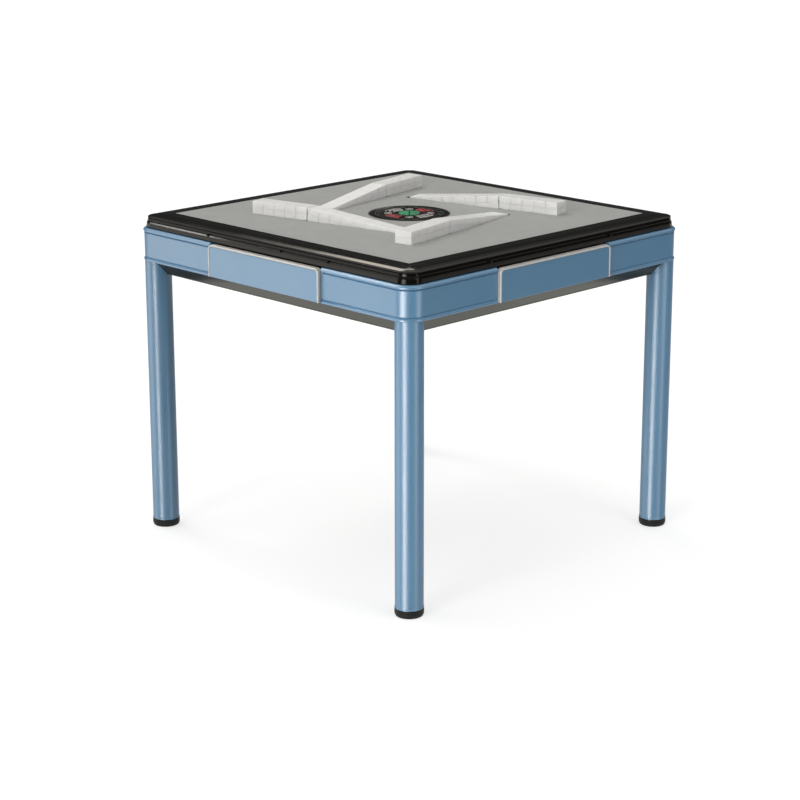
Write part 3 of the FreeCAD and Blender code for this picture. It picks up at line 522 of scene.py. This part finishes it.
# one finish for each material slot of the record
finishes = {
    "blue_paint": satin_blue("blue_leg_paint", roughness=0.42),
    "blue_panel": satin_blue("blue_band_paint", roughness=0.4),
    "black_gloss": paint("black_gloss_lacquer", srgb(11, 10, 9), srgb(17, 16, 14), roughness=0.1,
                         Specular_IOR_Level=0.2, Specular_Tint=(1.0, 0.93, 0.82, 1)),
    "black_matte": plastic("black_plastic", srgb(14, 14, 14), srgb(22, 22, 22), roughness=0.55,
                           Specular_IOR_Level=0.3),
    "tray_grey": paint("grey_tray_paint", srgb(92, 91, 87), srgb(100, 99, 95), roughness=0.14, metallic=0.85,
                       Specular_Tint=(0.6, 0.6, 0.58, 1)),
    "chassis": paint("dark_frame_paint", srgb(44, 46, 50), srgb(56, 58, 62), roughness=0.5, metallic=0.2),
    "steel": metal("plain_steel", srgb(150, 150, 152), srgb(190, 190, 192), roughness=0.3,
                   stretch=(1, 1, 0.05)),
    "board": plastic("dark_fibre_board", srgb(52, 44, 36), srgb(70, 60, 48), roughness=0.8, grain=1.5),
    "cloth": felt(),
    "trim": metal("satin_trim", srgb(196, 192, 186), srgb(210, 206, 200), roughness=0.35,
                  stretch=(0.04, 1, 1), metallic=0.3),
    "drawer_box": plastic("grey_drawer_plastic", srgb(88, 90, 93), srgb(98, 100, 103), roughness=0.5),
    "tile": plastic("white_tile", srgb(232, 231, 228), srgb(237, 236, 233), roughness=0.3, grain=2.5,
                    drift=0.03, Subsurface_Weight=0.4, Subsurface_Scale=0.012,
                    Subsurface_Radius=(1, 0.97, 0.94)),
    "ramp": metal("dark_ramp_plate", srgb(74, 74, 76), srgb(96, 96, 98), roughness=0.42,
                  stretch=(0.05, 1, 1)),
    "machine": plastic("machine_plastic", srgb(120, 120, 118), srgb(140, 140, 138), roughness=0.5),
    "drum": plastic("drum_plastic", srgb(60, 92, 84), srgb(72, 104, 96), roughness=0.45),
    "roller": plastic("rubber_roller", srgb(28, 27, 26), srgb(40, 39, 37), roughness=0.8, grain=1.2),
    "circuit": circuit(),
    "green_key": plastic("green_key_plastic", srgb(38, 132, 88), srgb(64, 160, 116), roughness=0.25,
                         grain=2.0),
    "red_key": printed("red_key_plastic", srgb(186, 58, 60)),
    "pale_key": printed("pale_key_plastic", srgb(206, 204, 198)),
}


def finish_cad_nodes():
    """Give every CAD node the finish of its material slot, and soften the edges of those seen up close."""
    for subpart in frame["record"]["subparts"]:
        node = frame["nodes"][subpart["node"]]
        node.data.materials.clear()
        node.data.materials.append(finishes[subpart["material_slot"]])
    for side in TURNS:
        soften(f"drawer_box_{side}", BOX_SOFTNESS)
        soften(f"seat_key_{side}", KEY_SOFTNESS)
    for node in ("key_raise", "key_dice", "disc_housing", "rocker_switch", "power_inlet"):
        soften(node, KEY_SOFTNESS)


def legs_and_feet():
    """Round tubes with a rolled lower end, on black caps."""
    low = leg_low.z
    bore = LEG_RADIUS - LEG_WALL
    wall = filleted([
        (bore, low, 0),
        *[(LEG_RADIUS + out, low + up, radius) for out, up, radius in LEG_ROLL],
        (LEG_RADIUS, leg_high.z, 0), (bore, leg_high.z, 0),
    ])
    cap_top = low - FOOT_GAP
    cap = filleted([
        (FOOT_MIDDLE, FOOT_HOLLOW, 0),
        *[(FOOT_RADIUS - inset, up, radius) for inset, up, radius in FOOT_SIDE],
        (FOOT_RADIUS, cap_top, FOOT_EDGE), (FOOT_MIDDLE, cap_top, 0),
    ])
    tubes = bmesh.new()
    caps = bmesh.new()
    for x in (-leg_place, leg_place):
        for y in (-leg_place, leg_place):
            loft(tubes, [level(ring(radius, x, y), height) for radius, height in wall], closed=True)
            loft(caps, [level(ring(radius, x, y), height) for radius, height in cap])
    piece("leg_tubes", tubes, "table", "blue_paint", "legs")
    piece("foot_cushions", caps, "table", "black_matte", "foot_caps")


def band_corners():
    """Four corner pieces of the blue band, each with a bead and a groove along its top and bottom."""
    inner = band_half - BAND_DEPTH
    low = band_low.z
    high = band_high.z
    profile = filleted([
        (inner, low, 0),
        *[(band_half - inset, low + up, radius) for inset, up, radius in LOW_BEAD],
        *[(band_half - inset, high - down, radius) for inset, down, radius in HIGH_BEAD],
        (inner, high, 0),
    ])

    def path(reach):
        return [(band_end, -reach), *corner_arc(reach, -90, 0), (reach, -band_end)]

    bm = bmesh.new()
    for degrees in TURNS.values():
        turn(bm, sweep(bm, profile, path), degrees)
    piece("band_corners", bm, "table", "blue_panel", "skirt_corners")


def rim():
    """Four mitred rails: a rounded slope, an overhanging crest, a side with two grooves and a lower lip."""
    top = rim_high.z
    low = rim_low.z
    inner = cloth_high.x + RIM_GAP
    outside = RIM_SLOPE + RIM_CREST + RIM_UPPER_SIDE + RIM_LOWER_SIDE
    underside = RIM_LIP + RIM_SEAT
    profile = filleted([
        (inner, top - RIM_EDGE, 0), (inner, top, RIM_EDGE_ROUND),
        *[(rim_half - inset, top - down, radius) for inset, down, radius in outside],
        *[(rim_half - inset, low + up, radius) for inset, up, radius in underside],
        (rim_half - RIM_DEPTH, top - RIM_EDGE, 0),
    ])

    def path(reach):
        right = corner_arc(reach, -90, -45)
        return [(-x, y) for x, y in reversed(right)] + right

    bm = bmesh.new()
    for degrees in TURNS.values():
        turn(bm, sweep(bm, profile, path), degrees)
    piece("rim_mouldings", bm, "table", "black_gloss", "rim_rails")


def rim_screws():
    """Two screw heads in each side of the rim, each with a round recess."""
    height = rim_high.z - FITTING_DROP
    recess = SCREW_RADIUS / 2
    head = filleted([
        (SCREW_RADIUS, rim_half - FITTING_ROOT, 0),
        (SCREW_RADIUS, rim_half + SCREW_PROUD, SCREW_ROUND),
        (recess, rim_half + SCREW_PROUD, SCREW_RECESS_ROUND),
        (recess, rim_half - SCREW_RECESS, 0),
    ])
    screws = bmesh.new()
    for degrees in TURNS.values():
        for place in (-SCREW_PLACE, SCREW_PLACE):
            loops = [upright(ring(radius, place, height), reach) for radius, reach in head]
            turn(screws, loft(screws, loops), degrees)
    piece("rim_screws", screws, "table", "black_gloss")


def socket_cover():
    """Flat cover of a socket in the south side of the rim."""
    height = rim_high.z - FITTING_DROP
    rows = ((0, -FITTING_ROOT), (0, SOCKET_SHOULDER), (SOCKET_CHAMFER, SOCKET_PROUD))
    loops = []
    for inset, proud in rows:
        half = SOCKET_HALF - inset
        corners = oblong(SOCKET_START + inset, SOCKET_END - inset, height - half, height + half)
        outline = filleted([(x, z, SOCKET_CORNER) for x, z in corners])
        loops.append(upright(outline, rim_half + proud))
    cover = bmesh.new()
    loft(cover, loops)
    piece("socket_cover", cover, "table", "black_matte")


def trim_path(outset):
    """Points of the trim's inverted U at this distance outside the drawer front."""
    half = front_high.x + outset
    top = front_high.z + outset
    radius = front_corner + outset
    headings = [math.radians(90 * step / ARC_STEPS) for step in range(ARC_STEPS + 1)]
    right = [(half - radius + radius * math.sin(a), top - radius + radius * math.cos(a)) for a in headings]
    right.append((half, trim_low.z))
    return [(-x, z) for x, z in reversed(right)] + right


def drawer_trim(side, degrees):
    """Bright rounded trim on three edges of a drawer front."""
    back = -trim_high.y
    proud = -trim_low.y
    section = filleted([
        (0, back, 0), (0, proud, TRIM_INNER_ROUND),
        (TRIM_WIDTH, proud, TRIM_OUTER_ROUND), (TRIM_WIDTH, back, 0),
    ], TRIM_STEPS)
    lines = [upright(trim_path(outset), reach) for outset, reach in section]
    trim = bmesh.new()
    turn(trim, loft(trim, list(zip(*lines))), degrees)
    piece(f"trim_{side}", trim, f"drawer_{side}", "trim", f"drawer_trim_{side}")


def drawer_front(side, degrees):
    """Blue drawer front with a rounded edge."""
    face = -front_low.y
    rows = [(0, -front_high.y)]
    for step in range(FRONT_EDGE_STEPS + 1):
        a = math.pi / 2 * step / FRONT_EDGE_STEPS
        rows.append((FRONT_EDGE * (1 - math.cos(a)), face - FRONT_EDGE * (1 - math.sin(a))))
    loops = []
    for inset, reach in rows:
        half = front_high.x - inset
        low = front_low.z + inset
        high = front_high.z - inset
        outline = filleted([
            (-half, low, FRONT_LOW_CORNER), (half, low, FRONT_LOW_CORNER),
            (half, high, front_corner), (-half, high, front_corner),
        ])
        loops.append(upright(outline, reach))
    front = bmesh.new()
    turn(front, loft(front, loops), degrees)
    piece(f"front_{side}", front, f"drawer_{side}", "blue_panel", f"drawer_front_{side}")


def wall_frame(degrees, tilt=0.0):
    """Place of a tile wall: its first axis runs inward from the hinge along the wall, on the cloth."""
    along = Matrix.Translation(HINGE) @ Matrix.Rotation(math.radians(WALL_ANGLE), 4, "Z")
    drop = Vector((0, 0, HINGE_DROP))
    lean = Matrix.Translation(-drop) @ Matrix.Rotation(math.radians(tilt), 4, "Y") @ Matrix.Translation(drop)
    return Matrix.Rotation(math.radians(degrees), 4, "Z") @ along @ lean


def tile_mesh():
    """One tile with rounded edges, standing on the origin."""
    bm = bmesh.new()
    bmesh.ops.create_cube(bm, size=1)
    bmesh.ops.scale(bm, vec=TILE, verts=bm.verts)
    bmesh.ops.translate(bm, vec=(0, 0, TILE.z / 2), verts=bm.verts)
    bmesh.ops.bevel(bm, geom=bm.edges[:], offset=TILE_ROUND, segments=3, profile=0.5, affect="EDGES")
    mesh = bpy.data.meshes.new("tile")
    bm.to_mesh(mesh)
    bm.free()
    return mesh


def tile_rows(bm, tile, place, first, count):
    """Stacks of tiles along a wall, from a first place."""
    for stack in range(count):
        for layer in range(TILE_LAYERS):
            middle = Vector((first + stack * tile_pitch + TILE.x / 2, 0, layer * TILE.z))
            known = len(bm.verts)
            bm.from_mesh(tile)
            bm.verts.ensure_lookup_table()
            bmesh.ops.transform(bm, matrix=place @ Matrix.Translation(middle), verts=bm.verts[known:])


def tile_walls():
    """Rows of tiles on the cloth, and a row on each ramp."""
    tile = tile_mesh()
    flat = bmesh.new()
    for side, degrees in TURNS.items():
        tile_rows(flat, tile, wall_frame(degrees), -FLAT_STACKS * tile_pitch, FLAT_STACKS)
        row = bmesh.new()
        tile_rows(row, tile, wall_frame(degrees, RAMP_TILT), TILE_GAP, RAMP_STACKS)
        piece(f"ramp_wall_{side}", row, f"ramp_{side}", "tile", f"ramp_tiles_{side}")
    piece("cloth_walls", flat, "table", "tile", "table_tiles")


def closed_line(curve, points):
    """Add a closed straight-sided outline to a flat curve."""
    spline = curve.splines.new("POLY")
    spline.points.add(len(points) - 1)
    for point, (x, y) in zip(spline.points, points):
        point.co = (x * MM, y * MM, 0, 1)
    spline.use_cyclic_u = True


def playing_cloth():
    """One stretched sheet with the disc's hole and a slot for each ramp, its cut edges rounded."""
    thickness = cloth_high.z - cloth_low.z
    half = cloth_high.x
    flat = bpy.data.curves.new("cloth_outline", "CURVE")
    flat.dimensions = "2D"
    flat.fill_mode = "BOTH"
    flat.extrude = (thickness / 2 - CLOTH_EDGE) * MM
    flat.bevel_depth = CLOTH_EDGE * MM
    flat.bevel_resolution = 2
    flat.offset = -CLOTH_EDGE * MM
    closed_line(flat, oblong(-half, half, -half, half))
    closed_line(flat, ring(DISC_HOLE))
    slot = oblong(SLOT_START, SLOT_END, -SLOT_HALF, SLOT_HALF)
    for degrees in TURNS.values():
        place = wall_frame(degrees)
        closed_line(flat, [(place @ Vector((u, v, 0)))[:2] for u, v in slot])
    holder = bpy.data.objects.new("cloth_outline", flat)
    bpy.context.scene.collection.objects.link(holder)
    mesh = bpy.data.meshes.new_from_object(holder)
    bpy.data.objects.remove(holder)
    mesh.transform(Matrix.Translation((0, 0, (cloth_low.z + thickness / 2) * MM)))
    sheet = dress("cloth_sheet", mesh, "table", "cloth", "playing_cloth")


def ring_band(bm, inner, outer, x=0, y=0, start=0, span=360):
    """Thin raised band of a ring on the control disc, from a heading through a span in degrees."""
    low = surface - MARK_SUNK
    high = surface + MARK_PROUD
    section = ((inner, low), (outer, low), (outer, high), (inner, high))
    steps = max(MARK_LEAST_STEPS, round(span / MARK_STEP))
    whole = span == 360
    loops = []
    for step in range(steps if whole else steps + 1):
        heading = math.radians(start + span * step / steps)
        along = math.cos(heading)
        across = math.sin(heading)
        loops.append([(x + radius * along, y + radius * across, height) for radius, height in section])
    loft(bm, loops, closed=whole)


def disc_marks():
    """Rings, arcs and small ringed dots inlaid in the control disc between its keys."""
    rings = bmesh.new()
    inlays = bmesh.new()
    for band in FINE_RINGS:
        ring_band(rings, *band)
    for key_heading in (0, 90, 180, 270):
        ring_band(rings, *ARC_BAND, start=key_heading - ARC_SPAN / 2, span=ARC_SPAN)
        dot_heading = key_heading + 45
        for offset in (-DASH_OFFSET, DASH_OFFSET):
            ring_band(rings, *DASH_BAND, start=dot_heading + offset - DASH_SPAN / 2, span=DASH_SPAN)
        x = DOT_PLACE * math.cos(math.radians(dot_heading))
        y = DOT_PLACE * math.sin(math.radians(dot_heading))
        ring_band(inlays, *DOT_RING, x, y)
        ring_band(inlays, *DOT, x, y)
    piece("disc_rings", rings, "control_disc", "ramp")
    piece("disc_inlays", inlays, "control_disc", "trim")


# studio, in metres: the floor, its own white near the table and far away, and the light of the sky by the
# height of a direction, which is 0 at the horizon and 1 overhead
FLOOR_SIZE = 60
FLOOR_PATCH = 0.9
FLOOR_DARK = (0.48, 0.48, 0.48)
FLOOR_LIGHT = (0.5, 0.5, 0.5)
GLOW_NEAR = 1.5
GLOW_FAR = 6
GLOW_NEAR_LEVEL = 0.62
GLOW_FAR_LEVEL = 0.8
SKY_LOW = 0.4
SKY_HIGH = 0.7
SKY_LOW_COLOUR = (0.06, 0.06, 0.06, 1)
SKY_HIGH_COLOUR = (0.93, 0.93, 0.93, 1)
TABLE_MIDDLE = (0, 0, 0.5)


def far_glow(finish):
    """Level of the floor's own white, which makes up for the lamps' light where it fades."""
    reach = finish.node("ShaderNodeVectorMath", operation="LENGTH")
    finish.link(finish.place, reach.inputs[0])
    return finish.rescaled(reach.outputs["Value"], GLOW_NEAR, GLOW_FAR, GLOW_NEAR_LEVEL, GLOW_FAR_LEVEL)


def pale_floor():
    """Floor that glows white for the camera, gloss and glass alone, and keeps the table's shadow."""
    bpy.ops.mesh.primitive_plane_add(size=FLOOR_SIZE)
    floor = bpy.context.object
    floor.name = "floor"
    finish = Finish("pale_floor", 0.9, Specular_IOR_Level=0.0, Emission_Color=(1, 1, 1, 1))
    finish.colour(finish.noise(FLOOR_PATCH / MM), FLOOR_DARK, FLOOR_LIGHT)
    rays = finish.node("ShaderNodeLightPath")
    seen = rays.outputs["Is Camera Ray"]
    for kind in ("Is Glossy Ray", "Is Transmission Ray"):
        either = finish.node("ShaderNodeMath", operation="MAXIMUM")
        finish.link(seen, either.inputs[0])
        finish.link(rays.outputs[kind], either.inputs[1])
        seen = either.outputs[0]
    glow = finish.node("ShaderNodeMath", operation="MULTIPLY")
    finish.link(seen, glow.inputs[0])
    finish.link(far_glow(finish), glow.inputs[1])
    finish.link(glow.outputs[0], finish.shader.inputs["Emission Strength"])
    floor.data.materials.append(finish.material)


def lamp(name, place, width, height, power, aim=TABLE_MIDDLE, spread=180, colour=(1, 1, 1)):
    """Soft oblong lamp aimed at a point, its light held to a spread in degrees."""
    light = bpy.data.lights.new(name, "AREA")
    light.shape = "RECTANGLE"
    light.size = width
    light.size_y = height
    light.energy = power
    light.color = colour
    light.spread = math.radians(spread)
    obj = bpy.data.objects.new(name, light)
    obj.location = place
    obj.rotation_euler = (Vector(aim) - obj.location).to_track_quat("-Z", "Y").to_euler()
    bpy.context.scene.collection.objects.link(obj)


def lamps():
    """Lamps for the cloth and the sides, and two small ones for the highlights on the rim."""
    lamp("key_softbox", (1.4, -4.35, 1.35), width=2.6, height=2.4, power=12.5,
         aim=(0.9, -0.4, 0.5), spread=42)
    lamp("left_softbox", (-3.3, -3.4, 1.4), width=3.4, height=2.4, power=38)
    lamp("side_strip", (4.4, 0.3, 1.3), width=0.8, height=2.2, power=12.5)
    lamp("right_fill", (3.4, 0.2, 2.6), width=1.6, height=1.6, power=13)
    lamp("left_overhead", (-2.6, -0.3, 4.2), width=1.2, height=1.2, power=34)
    lamp("rim_panel", (-2.1, 1.5, 2.5), width=1.3, height=0.45, power=8, colour=(1, 0.93, 0.8))
    lamp("lip_strip", (-2.784, -2.315, 1.613), width=0.3, height=0.1, power=1.7, aim=(-0.32, -0.455, 0.77))


def sky():
    """Light from all round, dark near the horizon and bright overhead."""
    world = bpy.data.worlds.new("studio")
    bpy.context.scene.world = world
    world.use_nodes = True
    tree = world.node_tree
    place = tree.nodes.new("ShaderNodeTexCoord")
    axes = tree.nodes.new("ShaderNodeSeparateXYZ")
    ramp = tree.nodes.new("ShaderNodeValToRGB")
    ramp.color_ramp.elements[0].position = SKY_LOW
    ramp.color_ramp.elements[0].color = SKY_LOW_COLOUR
    ramp.color_ramp.elements[1].position = SKY_HIGH
    ramp.color_ramp.elements[1].color = SKY_HIGH_COLOUR
    tree.links.new(place.outputs["Generated"], axes.inputs[0])
    tree.links.new(axes.outputs["Z"], ramp.inputs["Fac"])
    tree.links.new(ramp.outputs["Color"], tree.nodes["Background"].inputs["Color"])


def camera():
    """Camera at the photograph's viewing angle."""
    lens = bpy.data.cameras.new("camera")
    lens.lens = 94.33
    lens.sensor_width = 36
    lens.shift_x = -0.0116
    lens.shift_y = -0.0506
    obj = bpy.data.objects.new("camera", lens)
    obj.location = (3.382, -3.382, 1.6935)
    obj.rotation_euler = (math.radians(74.96), 0, math.radians(45))
    bpy.context.scene.collection.objects.link(obj)
    bpy.context.scene.camera = obj


bpy.context.scene.view_settings.view_transform = "Standard"
finish_cad_nodes()
legs_and_feet()
band_corners()
rim()
rim_screws()
socket_cover()
for side_name, side_turn in TURNS.items():
    drawer_trim(side_name, side_turn)
    drawer_front(side_name, side_turn)
tile_walls()
playing_cloth()
disc_marks()
pale_floor()
lamps()
sky()
camera()
